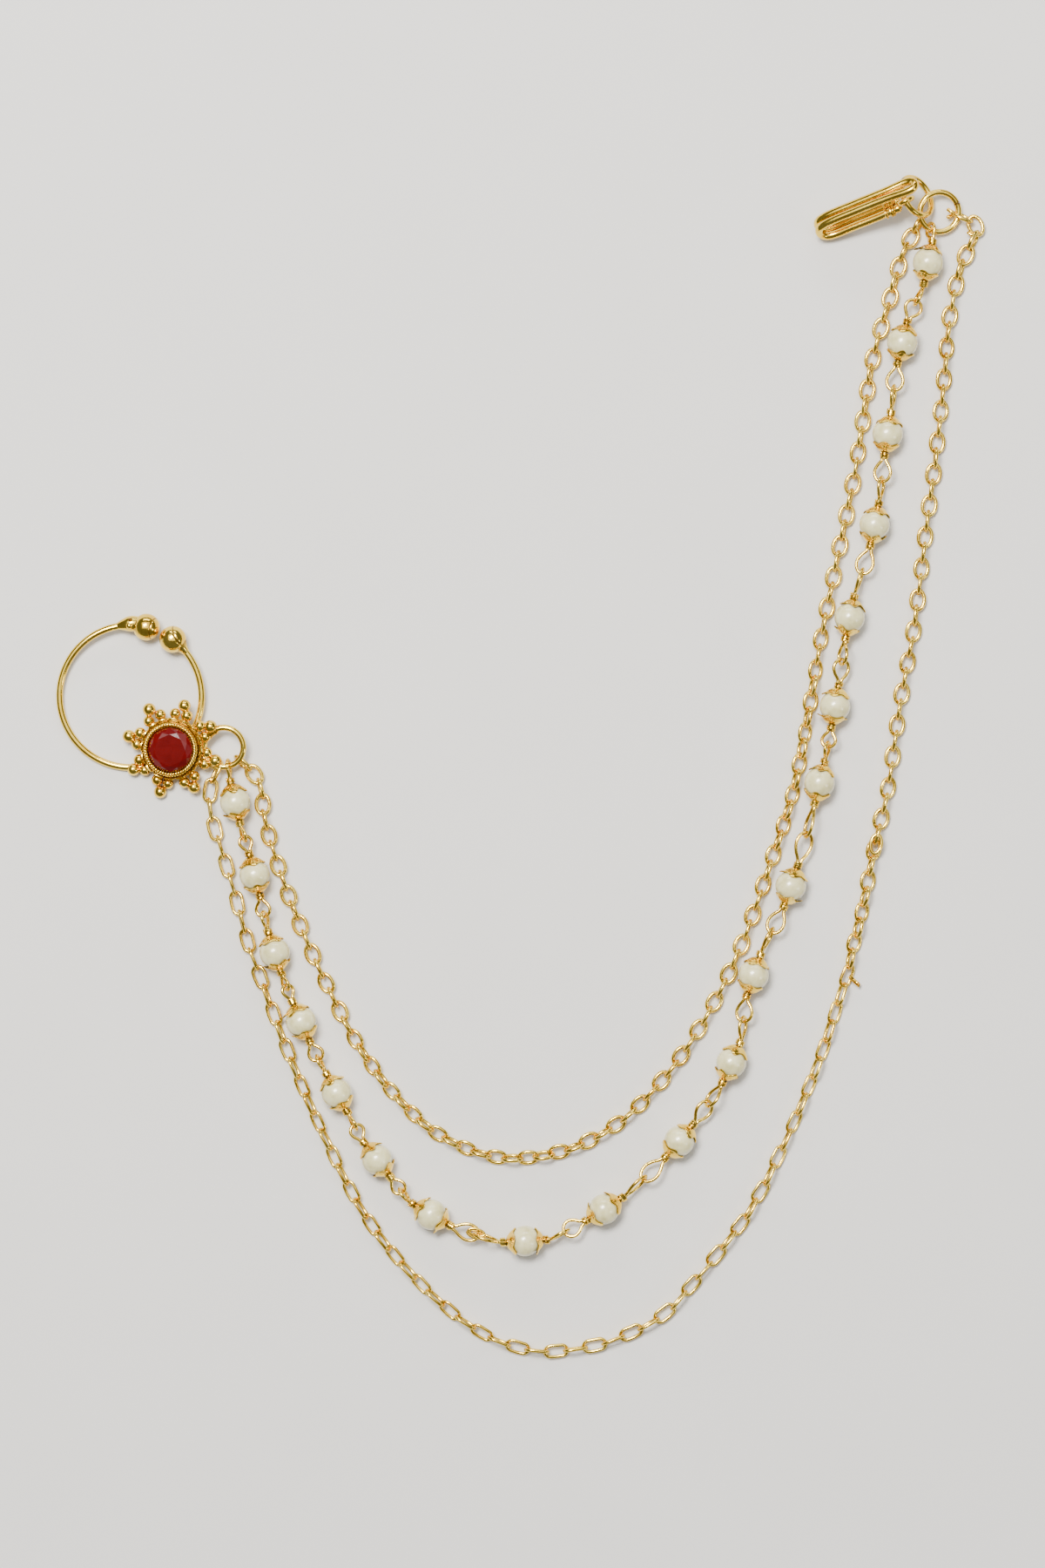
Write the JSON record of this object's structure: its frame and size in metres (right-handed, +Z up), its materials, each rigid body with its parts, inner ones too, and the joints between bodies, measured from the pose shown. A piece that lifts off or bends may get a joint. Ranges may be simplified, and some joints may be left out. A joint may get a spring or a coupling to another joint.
{
  "type": "nath nose ring with chains and hair hook",
  "caption": "Nose hoop with a granulated rosette and red stone, joined by two fine chains and a string of capped pearls to a hair hook; lies flat.",
  "frame": {"origin": "bottom centre of the bounding box, on the surface that the nath lies on", "axes": "+Y along the longest extent, from the strands' lowest curve towards the hair hook; +X from the nose hoop towards the hook; +Z up off the surface"},
  "size_m": [0.1186, 0.1528, 0.0072],
  "materials": {
    "gold": "polished warm yellow gold plating",
    "pearl": "cream pearl lustre",
    "red_stone": "polished opaque deep red, faceted"
  },
  "bodies": {
    "root": {"nose_ring": "gold", "red_stone": "red_stone", "pearl_01": "pearl", "pearl_02": "pearl", "pearl_03": "pearl", "pearl_04": "pearl", "pearl_05": "pearl", "pearl_06": "pearl", "pearl_07": "pearl", "pearl_08": "pearl", "pearl_09": "pearl", "pearl_10": "pearl", "pearl_11": "pearl", "pearl_12": "pearl", "pearl_13": "pearl", "pearl_14": "pearl", "pearl_15": "pearl", "pearl_16": "pearl", "pearl_17": "pearl", "pearl_18": "pearl", "pearl_19": "pearl", "pearl_20": "pearl", "pearl_link_01": "gold", "pearl_link_02": "gold", "pearl_link_03": "gold", "pearl_link_04": "gold", "pearl_link_05": "gold", "pearl_link_06": "gold", "pearl_link_07": "gold", "pearl_link_08": "gold", "pearl_link_09": "gold", "pearl_link_10": "gold", "pearl_link_11": "gold", "pearl_link_12": "gold", "pearl_link_13": "gold", "pearl_link_14": "gold", "pearl_link_15": "gold", "pearl_link_16": "gold", "pearl_link_17": "gold", "pearl_link_18": "gold", "pearl_link_19": "gold", "pearl_link_20": "gold", "inner_chain": "gold", "outer_chain_long": "gold", "outer_chain_round": "gold", "hair_jump_ring": "gold", "hook_ring": "gold", "hair_hook": "gold"}
  },
  "joints": []
}
